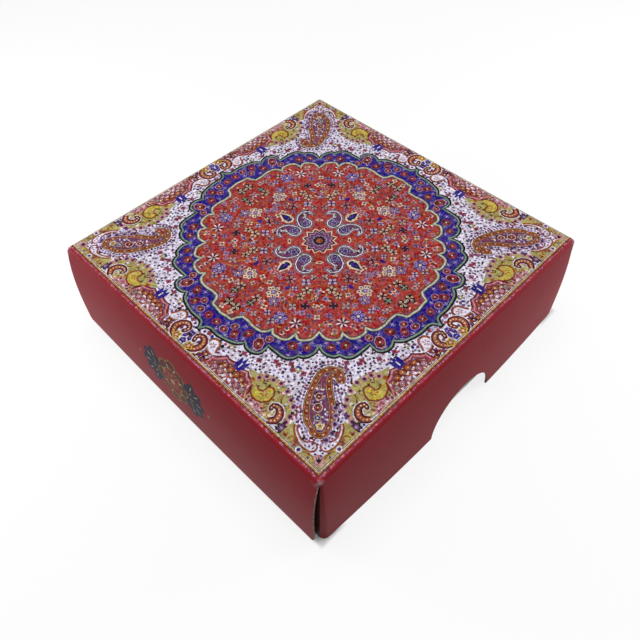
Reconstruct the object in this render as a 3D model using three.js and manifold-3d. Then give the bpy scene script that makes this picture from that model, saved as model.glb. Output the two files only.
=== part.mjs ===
// Folding carton jewelry box: a printed lid that lifts off a plain tray, with a flocked foam pad inside.
// Lid and tray are folded alike. The front and back walls roll over into a lining, and the flaps of the
// two single end walls are tucked between wall and lining.
// Millimetres, Z up. The origin is on the table under the middle of the box. The front faces -Y.

import * as THREE from "three";
import { mergeVertices } from "three/addons/utils/BufferGeometryUtils.js";
import Module from "manifold-3d";

// Outside of the closed box, measured over the lid's creases
const boxLength = 90;
const boxWidth = 90;
const boxHeight = 28;

// Carton board and its creases
const board = 0.5;
const creaseRadius = 0.9;
const cornerRadius = 1.7;

// Lid walls: they spring outwards, swelling below the crease, and bow between their corners. The folds of
// the end walls spread with the sides that they are tucked into.
const lidStandOff = 0.6;
const lidSideFlare = 2.1;
const lidSideBow = 0.4;
const lidEndFlare = 1.1;
const lidEndBow = 1.1;
const lidFlapSpread = 1.1;
const swellPower = 3;

// Thumb notch in the lower edge of each end wall of the lid, a little behind the middle
const notchWidth = 21.7;
const notchHeight = 11.5;
const notchOffset = 1.7;

// Rolled-over walls and tucked flaps
const cornerRelief = 0.3;
const flapLength = 24;
const flapTaper = 3;
const flapGap = 0.3;
const liningGap = 0.3;
const liningEndGap = 0.5;
const creaseGap = 0.3;

// Tray inside the lid
const slideGap = 0.5;

// Pad in the tray, with its flocked cover card
const padHeight = 12;
const padGap = 0.6;
const cardThickness = 0.8;
const slitWidth = 1;
const slitDepth = 8;
const ringSlitLength = 24;
const chainSlitLength = 10;
const chainSlitInset = 12;

// Facets, and how far a cut runs past the face it opens
const arcSteps = 6;
const wallSteps = 18;
const wallRows = 6;
const notchSteps = 64;
const cutMargin = 1;

const foldedEdge = 3 * board + flapGap + liningGap;
const trayLength = boxLength - 2 * (board + slideGap);
const trayWidth = boxWidth - 2 * (foldedEdge + slideGap);
const trayTop = boxHeight - board;

const wasm = await Module();
wasm.setup();

function solid(geometry) {
  const bare = geometry.clone();
  bare.deleteAttribute("normal");
  bare.deleteAttribute("uv");
  const merged = mergeVertices(bare);
  return new wasm.Manifold(new wasm.Mesh({
    numProp: 3,
    vertProperties: new Float32Array(merged.attributes.position.array),
    triVerts: new Uint32Array(merged.index.array),
  }));
}

function geometryOf(manifold) {
  const mesh = manifold.getMesh();
  const geometry = new THREE.BufferGeometry();
  geometry.setAttribute("position", new THREE.BufferAttribute(mesh.vertProperties, 3));
  geometry.setIndex(new THREE.BufferAttribute(mesh.triVerts, 1));
  geometry.computeVertexNormals();
  return geometry;
}

function cutOut(geometry, cutters) {
  const cut = (shape, cutter) => shape.subtract(solid(cutter));
  return geometryOf(cutters.reduce(cut, solid(geometry)));
}

function piece(name, geometry, finish) {
  const mesh = new THREE.Mesh(geometry, new THREE.MeshStandardMaterial(finish));
  mesh.name = name;
  return mesh;
}

// A block lying along Y between two heights, with its two upper edges rounded.
function loaf(across, along, radius, lowZ, topZ) {
  const half = across / 2;
  const outline = new THREE.Shape();
  outline.moveTo(-half, lowZ);
  outline.lineTo(half, lowZ);
  outline.absarc(half - radius, topZ - radius, radius, 0, Math.PI / 2);
  outline.absarc(-half + radius, topZ - radius, radius, Math.PI / 2, Math.PI);
  outline.closePath();
  const geometry = new THREE.ExtrudeGeometry(outline, {
    depth: along,
    bevelEnabled: false,
    curveSegments: arcSteps,
  });
  return geometry.rotateX(Math.PI / 2).translate(0, along / 2, 0);
}

// Where two loaves cross, all four upper edges are rounded and meet in mitred corners.
function cushion(length, width, radius, lowZ, topZ) {
  const lengthwise = solid(loaf(width, length, radius, lowZ, topZ).rotateZ(Math.PI / 2));
  return solid(loaf(length, width, radius, lowZ, topZ)).intersect(lengthwise);
}

// Main panel with its four creases turned towards -Z, outer face at z = 0.
function creasedPanel(length, width) {
  const lowZ = -creaseRadius;
  const outer = cushion(length, width, creaseRadius, lowZ, 0);
  const innerRadius = creaseRadius - board;
  const inner = cushion(length - 2 * board, width - 2 * board, innerRadius, lowZ - cutMargin, -board);
  return geometryOf(outer.subtract(inner));
}

// How a carton half's walls stand between crease and rim. The flare swells fast below the crease, and the bow
// grows evenly with the depth and is greatest at mid-length, where share is 0.
function makeStance(panelZ, rimZ, sideSpring, endSpring, flapSpread) {
  const opens = Math.sign(rimZ - panelZ);
  const creaseZ = panelZ + opens * creaseRadius;
  const depth = (z) => (z - creaseZ) / (rimZ - creaseZ);
  const swell = (z) => 1 - (1 - depth(z)) ** swellPower;
  const lean = (spring, z, share) => spring.flare * swell(z) + spring.bow * (1 - share * share) * depth(z);
  const spread = (z) => flapSpread * swell(z);
  return { panelZ, rimZ, opens, creaseZ, sideSpring, endSpring, lean, spread };
}

// Rolled-over side's outer wall, facing -Y, cut off square at both ends.
function sideWall(length, outerY, edgeZ, stance) {
  const height = Math.abs(edgeZ - stance.creaseZ);
  const geometry = new THREE.BoxGeometry(length, board, height, wallSteps, 1, wallRows);
  geometry.translate(0, -outerY + board / 2, (stance.creaseZ + edgeZ) / 2);
  const position = geometry.attributes.position;
  for (let i = 0; i < position.count; i += 1) {
    const lean = stance.lean(stance.sideSpring, position.getZ(i), (2 * position.getX(i)) / length);
    position.setY(i, position.getY(i) - lean);
  }
  return geometry;
}

// End wall, facing -Y, bent from a strip that has a round fold at both ends, where its flaps turn in.
function endWall(faceX, outerY, stance) {
  const strip = wallSteps + 2 * arcSteps;
  const height = Math.abs(stance.rimZ - stance.creaseZ);
  const geometry = new THREE.BoxGeometry(strip, board, height, strip, 1, wallRows);
  geometry.translate(0, board / 2, (stance.rimZ + stance.creaseZ) / 2);
  const position = geometry.attributes.position;
  for (let i = 0; i < position.count; i += 1) {
    const z = position.getZ(i);
    const flatStep = THREE.MathUtils.clamp(position.getX(i), -wallSteps / 2, wallSteps / 2);
    const share = (2 * flatStep) / wallSteps;
    const turn = ((position.getX(i) - flatStep) / arcSteps) * (Math.PI / 2);
    const radius = cornerRadius - position.getY(i);
    const foldY = -outerY + cornerRadius - stance.lean(stance.endSpring, z, share);
    position.setX(i, share * (faceX + stance.spread(z) - cornerRadius) + radius * Math.sin(turn));
    position.setY(i, foldY - radius * Math.cos(turn));
  }
  return geometry;
}

// The folds of an end wall are cut back at the rim, to let the rolled-over sides pass.
function reliefCutter(faceX, outerY, stance) {
  const spread = stance.spread(stance.rimZ);
  const length = 2 * (cornerRadius + creaseGap) + spread;
  const depth = 2 * (cornerRadius + stance.endSpring.flare + cutMargin);
  const height = 2 * (board + creaseGap);
  const relief = new THREE.BoxGeometry(length, depth, height);
  return relief.translate(faceX + (Math.sign(faceX) * spread) / 2, -outerY, stance.rimZ);
}

// Half an oval, standing on the rim.
function notchCutter(offset, outerY, stance) {
  const radius = notchWidth / 2;
  const depth = 2 * (board + stance.endSpring.flare + stance.endSpring.bow + cutMargin);
  const notch = new THREE.CylinderGeometry(radius, radius, depth, notchSteps);
  return notch.scale(1, 1, notchHeight / radius).translate(offset, -outerY, stance.rimZ);
}

// Strip along the rim, from the outer wall's bowed edge to the lining's inner face.
function rimStrip(wallLength, liningLength, outerY, innerY, edgeZ, stance) {
  const outline = new THREE.Shape();
  outline.moveTo(-liningLength / 2, -innerY);
  for (let i = 0; i <= wallSteps; i += 1) {
    const share = (2 * i) / wallSteps - 1;
    outline.lineTo((share * wallLength) / 2, -outerY - stance.lean(stance.sideSpring, edgeZ, share));
  }
  outline.lineTo(liningLength / 2, -innerY);
  outline.closePath();
  const geometry = new THREE.ExtrudeGeometry(outline, { depth: board, bevelEnabled: false });
  return geometry.translate(0, 0, Math.min(edgeZ, stance.rimZ));
}

// Flap turned in from an end wall that faces -Y, beside the plane across X at faceX, tapered to its free end.
function tuckFlap(faceX, outerY, stance) {
  const side = Math.sign(faceX);
  const topZ = stance.creaseZ + stance.opens * creaseGap;
  const edgeZ = stance.rimZ - stance.opens * (board + creaseGap);
  const rootY = -outerY + cornerRadius + creaseGap;
  const geometry = new THREE.BoxGeometry(board, 1, 1, 1, 1, wallRows).translate(0, 0.5, 0.5);
  const position = geometry.attributes.position;
  for (let i = 0; i < position.count; i += 1) {
    const along = position.getY(i);
    const lowZ = Math.min(topZ, edgeZ) + flapTaper * along;
    const highZ = Math.max(topZ, edgeZ) - flapTaper * along;
    const z = THREE.MathUtils.lerp(lowZ, highZ, position.getZ(i));
    const lean = stance.lean(stance.endSpring, z, 1);
    position.setX(i, position.getX(i) + faceX + side * (stance.spread(z) - board / 2));
    position.setY(i, rootY - lean * (1 - along) + flapLength * along);
    position.setZ(i, z);
  }
  return geometry;
}

// One folded carton half: main panel, two rolled-over sides and two end walls with their flaps.
function foldedTray(name, length, width, stance, notched, finish) {
  const tray = new THREE.Group();
  const panel = piece(`${name}_main_panel`, creasedPanel(length, width), finish);
  panel.position.z = stance.panelZ;
  panel.rotation.x = stance.opens > 0 ? Math.PI : 0;
  tray.add(panel);

  const edgeZ = stance.rimZ - stance.opens * board;
  const sideLength = length - 2 * cornerRelief;
  const liningLength = length - 2 * (board + liningEndGap);
  const liningY = width / 2 - foldedEdge;
  const liningZ = stance.panelZ + stance.opens * (board + creaseGap);
  for (const [side, turn] of [["front", 0], ["back", Math.PI]]) {
    const rolled = new THREE.Group();
    rolled.rotation.z = turn;
    const wall = sideWall(sideLength, width / 2, edgeZ, stance);
    rolled.add(piece(`${name}_${side}_wall`, wall, finish));
    const rim = rimStrip(sideLength, liningLength, width / 2, liningY, edgeZ, stance);
    rolled.add(piece(`${name}_${side}_rim`, rim, finish));
    const lining = new THREE.BoxGeometry(liningLength, board, Math.abs(edgeZ - liningZ));
    lining.translate(0, -liningY - board / 2, (edgeZ + liningZ) / 2);
    rolled.add(piece(`${name}_${side}_lining`, lining, finish));
    tray.add(rolled);
  }

  const flapFace = width / 2 - board - flapGap;
  for (const [end, turn] of [["right", Math.PI / 2], ["left", -Math.PI / 2]]) {
    const folded = new THREE.Group();
    folded.rotation.z = turn;
    const cutters = [-flapFace, flapFace].map((faceX) => reliefCutter(faceX, length / 2, stance));
    if (notched) {
      cutters.push(notchCutter(Math.sign(turn) * notchOffset, length / 2, stance));
    }
    const wall = cutOut(endWall(flapFace, length / 2, stance), cutters);
    folded.add(piece(`${name}_${end}_end_wall`, wall, finish));
    for (const side of ["front", "back"]) {
      const towards = (side === "front") === (end === "right") ? -1 : 1;
      const flap = tuckFlap(towards * flapFace, length / 2, stance);
      folded.add(piece(`${name}_${end}_${side}_flap`, flap, finish));
    }
    tray.add(folded);
  }
  return tray;
}

// Slits that hold a ring in the middle and a chain at the two back corners.
function slitCutters(length, width, topZ) {
  const chainX = length / 2 - chainSlitInset;
  const chainY = width / 2 - chainSlitInset;
  const ring = new THREE.BoxGeometry(ringSlitLength, slitWidth, 2 * slitDepth);
  const cutters = [ring.translate(0, 0, topZ)];
  for (const side of [-1, 1]) {
    const chain = new THREE.BoxGeometry(chainSlitLength, slitWidth, 2 * slitDepth);
    chain.rotateZ((-side * Math.PI) / 4);
    cutters.push(chain.translate(side * chainX, chainY, topZ));
  }
  return cutters;
}

function slitPlate(length, width, lowZ, highZ, slitTopZ) {
  const plate = new THREE.BoxGeometry(length, width, highZ - lowZ);
  plate.translate(0, 0, (lowZ + highZ) / 2);
  return cutOut(plate, slitCutters(length, width, slitTopZ));
}

function padInsert(foamFinish, cardFinish) {
  const length = trayLength - 2 * (board + padGap);
  const width = trayWidth - 2 * (foldedEdge + padGap);
  const padTop = board + padHeight;
  const cardTop = padTop + cardThickness;
  const insert = new THREE.Group();
  insert.add(piece("insert_foam_pad", slitPlate(length, width, board, padTop, cardTop), foamFinish));
  insert.add(piece("insert_flocked_card", slitPlate(length, width, padTop, cardTop, cardTop), cardFinish));
  return insert;
}

const printedBoard = { color: "#9a2f38", roughness: 0.5, metalness: 0 };
const whiteBoard = { color: "#e9e6e0", roughness: 0.8, metalness: 0 };
const greyFoam = { color: "#d8d6d2", roughness: 0.95, metalness: 0 };
const whiteFlock = { color: "#f1eee8", roughness: 0.95, metalness: 0 };

const jewelryBox = new THREE.Group();
const still = { flare: 0, bow: 0 };
const trayStance = makeStance(0, trayTop, still, still, 0);
jewelryBox.add(foldedTray("tray", trayLength, trayWidth, trayStance, false, whiteBoard));
jewelryBox.add(padInsert(greyFoam, whiteFlock));
const lidSides = { flare: lidSideFlare, bow: lidSideBow };
const lidEnds = { flare: lidEndFlare, bow: lidEndBow };
const lidStance = makeStance(boxHeight, lidStandOff, lidSides, lidEnds, lidFlapSpread);
jewelryBox.add(foldedTray("lid", boxLength, boxWidth, lidStance, true, printedBoard));

export default jewelryBox;
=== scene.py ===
"""Cardboard jewelry box: a printed lift-off lid over a white tray with a slit pad for rings and chains."""
import math
import random
from types import SimpleNamespace

import bmesh
import bpy
from mathutils import Matrix, Vector
from mathutils.geometry import delaunay_2d_cdt


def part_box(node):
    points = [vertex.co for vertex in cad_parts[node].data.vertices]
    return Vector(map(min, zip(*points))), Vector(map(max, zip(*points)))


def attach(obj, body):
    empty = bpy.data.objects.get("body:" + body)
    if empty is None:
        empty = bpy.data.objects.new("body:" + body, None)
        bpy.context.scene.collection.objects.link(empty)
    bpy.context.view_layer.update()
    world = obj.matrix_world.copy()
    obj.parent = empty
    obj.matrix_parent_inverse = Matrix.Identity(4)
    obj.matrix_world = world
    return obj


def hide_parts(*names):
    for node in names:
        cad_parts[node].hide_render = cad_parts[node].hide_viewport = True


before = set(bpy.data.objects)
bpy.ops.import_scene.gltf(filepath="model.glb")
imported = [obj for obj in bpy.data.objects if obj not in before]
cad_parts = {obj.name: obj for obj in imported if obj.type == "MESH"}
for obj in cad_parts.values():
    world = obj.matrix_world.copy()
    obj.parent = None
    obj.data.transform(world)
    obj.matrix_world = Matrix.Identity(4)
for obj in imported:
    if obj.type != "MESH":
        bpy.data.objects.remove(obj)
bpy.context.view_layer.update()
scene = bpy.context.scene
scene.view_settings.view_transform = "Standard"


# Camera: held by hand above the near corner of the box, a little off the diagonal.
# Its place, turn and lens were fitted to the four top corners of the lid and the three lower corners that show.
camera_place = (0.08096, -0.07674, 0.13949)
camera_turn = (38.05, 1.34, 45.08)
sensor_mm = 36
lens_mm = 35.39
camera = bpy.data.objects.new("camera", bpy.data.cameras.new("camera"))
camera.data.sensor_width = sensor_mm
camera.data.lens = lens_mm
camera.location = camera_place
camera.rotation_euler = [math.radians(angle) for angle in camera_turn]
scene.collection.objects.link(camera)
scene.camera = camera


# Table and studio: a pale table, white surroundings, a broad soft box overhead and two small ones at the sides.
# Most light comes from above, so the walls stand at half the brightness of the top and fall off to the corner.
def linear(code):
    """A colour written as sRGB hex, as the linear RGBA that shaders take."""
    channels = [int(code[place:place + 2], 16) / 255 for place in (1, 3, 5)]
    return [c / 12.92 if c <= 0.04045 else ((c + 0.055) / 1.055) ** 2.4 for c in channels] + [1]


def feed(tree, node, inputs):
    """Gives inputs of a node their values, or links them to sockets or to the first outputs of other nodes."""
    for socket, value in inputs.items():
        if isinstance(value, bpy.types.Node):
            value = value.outputs[0]
        if isinstance(value, bpy.types.NodeSocket):
            tree.links.new(value, node.inputs[socket])
        else:
            node.inputs[socket].default_value = value


def add_node(tree, kind, inputs=None, **settings):
    """Adds a node with its settings and its inputs."""
    made = tree.nodes.new(kind)
    for name, value in settings.items():
        setattr(made, name, value)
    feed(tree, made, inputs or {})
    return made


def start_material(name):
    """A new material with its node tree, its Principled shader and its Object coordinates."""
    material = bpy.data.materials.new(name)
    material.use_nodes = True
    tree = material.node_tree
    place = add_node(tree, "ShaderNodeTexCoord").outputs["Object"]
    return material, tree, tree.nodes["Principled BSDF"], place


def link_piece(name, bm, materials):
    """Turns a bmesh drawn in millimetres into an object in metres with these materials."""
    bmesh.ops.scale(bm, vec=(0.001, 0.001, 0.001), verts=bm.verts)
    mesh = bpy.data.meshes.new(name)
    bm.to_mesh(mesh)
    bm.free()
    for material in materials:
        mesh.materials.append(material)
    piece = bpy.data.objects.new(name, mesh)
    scene.collection.objects.link(piece)
    return piece


table_half = 1500
table_drop = 0.05
table_glow = 0.8
shade_edge = (0.0462, 0.047)
shade_corner = (0.088, 0.085)
surroundings_share = 0.21
soft_box_side = 0.5
soft_box_height = 0.7
soft_box_watts = 3.35
side_box_side = 0.1
side_box_watts = (0.25, 0.36)
side_box_places = ((-0.17, -0.125, 0.06), (0.14, 0.22, 0.06))


def seen_directly(tree):
    """Is 1 for rays that show a surface as it is, to the eye or in a reflection, and 0 for light."""
    path = add_node(tree, "ShaderNodeLightPath")
    seen = path.outputs["Is Camera Ray"]
    for kind in ("Is Glossy Ray", "Is Transmission Ray"):
        seen = add_node(tree, "ShaderNodeMath", {0: seen, 1: path.outputs[kind]}, operation="MAXIMUM")
    return seen


# Pale table paint, bleached to near white where it is seen but giving only part of that light back.
# Under the four corners of the box it is left unbleached, so that the slits between the walls end in shade.
table_finish, tree, shader, place = start_material("pale_table_paint")
seen = seen_directly(tree)
tint = add_node(tree, "ShaderNodeMixRGB",
                {"Fac": seen, "Color1": linear("#8a8988"), "Color2": linear("#fafafa")})
feed(tree, shader, {"Base Color": tint, "Roughness": 0.9})
away = add_node(tree, "ShaderNodeVectorMath", {0: place}, operation="ABSOLUTE")
axes = add_node(tree, "ShaderNodeSeparateXYZ", {0: away})
reach = add_node(tree, "ShaderNodeMath", {0: axes.outputs["X"], 1: axes.outputs["Y"]}, operation="MAXIMUM")
beside = add_node(tree, "ShaderNodeMapRange",
                  {"Value": reach, "From Min": shade_edge[0], "From Max": shade_edge[1]})
diagonal = add_node(tree, "ShaderNodeMath", {0: axes.outputs["X"], 1: axes.outputs["Y"]}, operation="ADD")
inward = add_node(tree, "ShaderNodeMapRange",
                  {"Value": diagonal, "From Min": shade_corner[0], "From Max": shade_corner[1]})
bleached = add_node(tree, "ShaderNodeMath", {0: beside, 1: inward}, operation="MAXIMUM")
glow = add_node(tree, "ShaderNodeMath", {0: bleached, 1: table_glow}, operation="MULTIPLY")
share = add_node(tree, "ShaderNodeMath", {0: seen, 1: glow}, operation="MULTIPLY")
white = add_node(tree, "ShaderNodeEmission", {"Color": (1, 1, 1, 1), "Strength": 1})
mix = add_node(tree, "ShaderNodeMixShader", {0: share, 1: shader, 2: white})
feed(tree, tree.nodes["Material Output"], {"Surface": mix})
bm = bmesh.new()
bmesh.ops.create_grid(bm, x_segments=1, y_segments=1, size=table_half)
bmesh.ops.translate(bm, verts=bm.verts, vec=(0, 0, -table_drop))
table = link_piece("table", bm, [table_finish])

scene.world = bpy.data.worlds.new("white_surroundings")
scene.world.use_nodes = True
tree = scene.world.node_tree
strength = add_node(tree, "ShaderNodeMapRange",
                    {"Value": seen_directly(tree), "To Min": surroundings_share, "To Max": 1})
feed(tree, tree.nodes["Background"], {"Color": (1, 1, 1, 1), "Strength": strength})


def add_soft_box(name, side, watts, place):
    """Adds a square soft box that faces the jewelry box."""
    lamp = bpy.data.objects.new(name, bpy.data.lights.new(name, "AREA"))
    lamp.data.size = side
    lamp.data.energy = watts
    lamp.location = place
    lamp.rotation_euler = Vector(place).to_track_quat("Z", "Y").to_euler()
    lamp.visible_camera = False
    scene.collection.objects.link(lamp)


add_soft_box("soft_box_overhead", soft_box_side, soft_box_watts, (0, 0, soft_box_height))
for name, watts, place in zip(("left", "right"), side_box_watts, side_box_places):
    add_soft_box(f"soft_box_{name}", side_box_side, watts, place)


# Tray: the plain lower half of the carton, white-lined folding board creased into a panel, two rolled-over
# sides and two end walls whose flaps are tucked inside the sides. Nothing is glued.
def box_mm(node):
    """Lowest and highest corner of a CAD node, in millimetres."""
    low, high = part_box(node)
    return low * 1000, high * 1000


def measure_carton(name, side_spring, end_spring, spread, fold_radius):
    """Sizes of one half of the carton in millimetres, read from its panels in the frame."""
    panel_low, panel_high = box_mm(name + "_main_panel")
    rim_low, rim_high = box_mm(name + "_front_rim")
    lining_low, lining_high = box_mm(name + "_front_lining")
    _, side_high = box_mm(name + "_front_wall")
    board = lining_high.y - lining_low.y
    flap_gap = 0.3
    up = 1 if rim_low.z > panel_low.z else -1
    return SimpleNamespace(
        up=up,
        panel_z=panel_low.z if up > 0 else panel_high.z,
        crease_z=panel_high.z if up > 0 else panel_low.z,
        crease_radius=panel_high.z - panel_low.z,
        rim_z=rim_high.z if up > 0 else rim_low.z,
        half_length=panel_high.x,
        half_width=panel_high.y,
        board=board,
        lining_face=-lining_high.y,
        lining_half=lining_high.x,
        lining_z=lining_low.z if up > 0 else lining_high.z,
        side_half=side_high.x,
        flap_face=panel_high.y - board - flap_gap,
        fold_radius=fold_radius,
        side_spring=side_spring,
        end_spring=end_spring,
        spread=spread,
    )


def lean(flare, bow, share, part):
    """How far a sprung wall leans out: its flare swells fast below the crease, its bow evenly with depth."""
    return flare * (1 - (1 - part) ** 3) + bow * (1 - share ** 2) * part


def cut_blank(outline, scores, paper, prints=()):
    """A flat sheet in millimetres, cut along its outline and divided by score lines and printed shapes.
    Shapes are (ink, points) in printing order, and each face takes the ink laid on it last.
    The alpha of an ink is 0 on the plain sheet and 1 on a printed shape."""
    points = []
    faces = []
    for ink, shape in [(paper, outline), *prints]:
        faces.append(list(range(len(points), len(points) + len(shape))))
        points += [Vector(point) for point in shape]
    edges = []
    for line in scores:
        edges.append((len(points), len(points) + 1))
        points += [Vector(point) for point in line]
    inks = [linear(paper)[:3] + [0]] + [linear(ink) for ink, shape in prints]
    flat, _, cells, _, _, shapes_of = delaunay_2d_cdt(points, edges, faces, 1, 1e-5)
    bm = bmesh.new()
    layer = bm.loops.layers.float_color.new("ink")
    corners = [bm.verts.new((*point, 0)) for point in flat]
    for cell, shapes in zip(cells, shapes_of):
        if 0 in shapes:
            face = bm.faces.new([corners[corner] for corner in cell])
            for loop in face.loops:
                loop[layer] = inks[max(shapes)]
    bmesh.ops.delete(bm, geom=[v for v in bm.verts if not v.link_faces], context="VERTS")
    return bm


def fold_blank(bm, fold):
    """Moves every point of a flat blank to where the fold puts it."""
    for vert in bm.verts:
        vert.co = fold(vert.co.x, vert.co.y)


arc_steps = 6


def rolled_side(carton, facing, paper, prints=()):
    """Outer wall, rim and lining of one long side, as one strip rolled over at the rim."""
    radius = carton.crease_radius
    turn_z = carton.rim_z - carton.up * radius
    wall_steps = 8

    def profile(along):
        share = min(1, abs(along) / carton.side_half)
        reach = lean(*carton.side_spring, share, 1)
        points = []
        for step in range(wall_steps + 1):
            part = step / wall_steps
            z = carton.crease_z + (turn_z - carton.crease_z) * part
            points.append((carton.half_width + lean(*carton.side_spring, share, part), z))
        outer_centre = carton.half_width + reach - radius
        inner_centre = carton.lining_face + radius
        for centre, first, last in ((outer_centre, 1, arc_steps), (inner_centre, arc_steps, 2 * arc_steps)):
            for step in range(first, last + 1):
                angle = math.pi / 2 * step / arc_steps
                rise = carton.up * radius * math.sin(angle)
                points.append((centre + radius * math.cos(angle), turn_z + rise))
        points.append((carton.lining_face, carton.lining_z))
        return points

    middle = profile(0)
    stations = [0]
    for start, end in zip(middle, middle[1:]):
        stations.append(stations[-1] + math.dist(start, end))

    def fold(along, height):
        depth = min(max(-height, 0), stations[-1])
        index = max(i for i, station in enumerate(stations[:-1]) if station <= depth)
        part = (depth - stations[index]) / (stations[index + 1] - stations[index])
        points = profile(along)
        out, z = Vector(points[index]).lerp(Vector(points[index + 1]), part)
        return (carton.up * facing * along, facing * out, z)

    wide = carton.side_half
    narrow = carton.lining_half
    rim_cut = 1.2
    cut_rise = 1.9 * rim_cut
    rim_end = -stations[-2 - arc_steps]
    turn_end = -stations[-3 - arc_steps]
    lining_end = -stations[-1]
    outline = [(-narrow, lining_end), (narrow, lining_end), (narrow, rim_end), (wide - rim_cut, rim_end),
               (wide - rim_cut, turn_end), (wide, turn_end + cut_rise), (wide, 0), (-wide, 0),
               (-wide, turn_end + cut_rise), (rim_cut - wide, turn_end), (rim_cut - wide, rim_end),
               (-narrow, rim_end)]
    columns = 18
    scores = [((-wide, -station), (wide, -station)) for station in stations[1:-1]]
    for column in range(1, columns):
        place = wide * (2 * column / columns - 1)
        scores.append(((place, 0), (place, lining_end)))
    bm = cut_blank(outline, scores, paper, prints)
    fold_blank(bm, fold)
    return bm


def flapped_end(carton, facing, paper, notch=None, painted_shade_ink=None):
    """One end wall with the round folds at its corners and the flaps that they carry, as one bent strip."""
    radius = carton.fold_radius
    flat_half = carton.flap_face - radius
    fold_end = flat_half + radius * math.pi / 2
    depth = abs(carton.rim_z - carton.crease_z)
    top_radius = 0.6
    rim_relief = 0.3
    top_relief = 0.2
    flap_length = 24
    flap_taper = 3
    # Share of the corner fold after which the flaps take the painted shade.
    shade_start = 0.85

    def fold(along, height):
        reach = abs(along)
        part = -height / depth
        share = min(1, reach / flat_half)
        face = carton.half_length + lean(*carton.end_spring, share, part)
        bend = top_radius + (radius - top_radius) * part
        flap = carton.flap_face + lean(carton.spread, 0, 1, part)
        angle = math.pi / 2 * min(max((reach - flat_half) / (fold_end - flat_half), 0), 1)
        out = face - bend * (1 - math.cos(angle)) - max(0, reach - fold_end)
        across = math.copysign(share * (flap - bend) + bend * math.sin(angle), along)
        return (facing * out, -carton.up * facing * across, carton.crease_z - carton.up * height)

    foot = -depth
    half = [(flat_half, foot), (fold_end, foot), (fold_end + rim_relief, foot + rim_relief),
            (fold_end + flap_length, foot + rim_relief + flap_taper),
            (fold_end + flap_length, -top_relief - flap_taper), (fold_end, -top_relief), (flat_half, 0)]
    outline = half + [(-along, height) for along, height in reversed(half)]
    if notch:
        for step in range(notch.steps + 1):
            angle = math.pi * (step / notch.steps - 0.5)
            outline.append((-carton.up * facing * notch.offset + notch.width / 2 * math.sin(angle),
                            foot + notch.height * math.cos(angle)))
    columns = 18
    places = [flat_half * (2 * column / columns - 1) for column in range(columns + 1)]
    for step in range(1, arc_steps + 1):
        bend = flat_half + (fold_end - flat_half) * step / arc_steps
        places += [bend, -bend]
    rows = 8
    scores = [((place, foot), (place, 0)) for place in places]
    reach = fold_end + flap_length
    scores += [((-reach, foot * row / rows), (reach, foot * row / rows)) for row in range(1, rows)]
    # Past most of each corner fold the flaps are printed dark: painted shade for the slit at each corner.
    flaps = []
    if painted_shade_ink:
        for side in (-1, 1):
            inner = side * (flat_half + shade_start * (fold_end - flat_half))
            outer = side * reach
            flap = [(inner, foot), (outer, foot), (outer, 0), (inner, 0)]
            flaps.append((painted_shade_ink, flap[::side]))
    bm = cut_blank(outline, scores, paper, flaps)
    fold_blank(bm, fold)
    return bm


def crease_places(half, radius):
    """Where a flat panel of this folded half size starts to bend into its crease, and each step of the bend."""
    return [half - radius + radius * math.pi / 2 * step / arc_steps for step in range(arc_steps + 1)]


def creased_panel(carton, bm):
    """Bends the margins of a flat panel into its four creases and closes it with the board's other face."""
    radius = carton.crease_radius
    flat = Vector((carton.half_length - radius, carton.half_width - radius))

    def fold(along, across):
        place = Vector((along, across))
        kept = Vector((min(max(along, -flat.x), flat.x), min(max(across, -flat.y), flat.y)))
        over = place - kept
        angle = min(over.length / radius, math.pi / 2)
        bent = kept + over.normalized() * radius * math.sin(angle)
        drop = radius * (1 - math.cos(angle)) + max(0, over.length - radius * math.pi / 2)
        return (bent.x, -carton.up * bent.y, carton.panel_z + carton.up * drop)

    fold_blank(bm, fold)
    size = Vector((carton.half_length, carton.half_width))
    for inset, rise in ((carton.board, 0), (radius, radius - carton.board)):
        rim = [edge for edge in bm.edges if edge.is_boundary]
        made = bmesh.ops.extrude_edge_only(bm, edges=rim)["geom"]
        smaller = Vector((carton.half_length - inset, carton.half_width - inset))
        for item in made:
            if isinstance(item, bmesh.types.BMVert):
                item.co.x *= smaller.x / size.x
                item.co.y *= smaller.y / size.y
                if rise:
                    item.co.z = carton.crease_z - carton.up * rise
            elif isinstance(item, bmesh.types.BMFace):
                item.material_index = 1
        size = smaller
    rim = [edge for edge in bm.edges if edge.is_boundary]
    for item in bmesh.ops.contextual_create(bm, geom=rim)["faces"]:
        item.material_index = 1
    bmesh.ops.recalc_face_normals(bm, faces=bm.faces)
    return bm


def per_mm(size):
    """Texture scale, on Object coordinates in metres, that gives features of this many millimetres."""
    return 1000 / size


def board_piece(name, bm, board, materials):
    """Gives a folded strip its board thickness, with the printed side, the back and the cut edge."""
    for face in bm.faces:
        face.smooth = True
    for edge in bm.edges:
        edge.smooth = not edge.is_boundary
    piece = link_piece(name, bm, materials)
    thickness = piece.modifiers.new("board", "SOLIDIFY")
    thickness.thickness = board / 1000
    thickness.offset = -1
    thickness.use_even_offset = True
    thickness.material_offset = 1
    thickness.material_offset_rim = 2
    return piece


# White-lined folding board, clay coated: a matt white with faint cloudy fibre and hardly any gloss.
white_board_ink = "#eeece7"
white_board, tree, shader, place = start_material("clay_coated_white_board")
cloud = add_node(tree, "ShaderNodeTexNoise", {"Vector": place, "Scale": per_mm(3), "Detail": 4})
fibre = add_node(tree, "ShaderNodeTexNoise", {"Vector": place, "Scale": per_mm(0.25), "Detail": 3})
tint = add_node(tree, "ShaderNodeMixRGB",
                {"Fac": cloud, "Color1": linear("#e6e3dd"), "Color2": linear("#f4f2ee")})
bump = add_node(tree, "ShaderNodeBump", {"Height": fibre, "Strength": 0.25, "Distance": 0.00004})
feed(tree, shader, {"Base Color": tint, "Normal": bump, "Roughness": 0.62})

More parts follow.
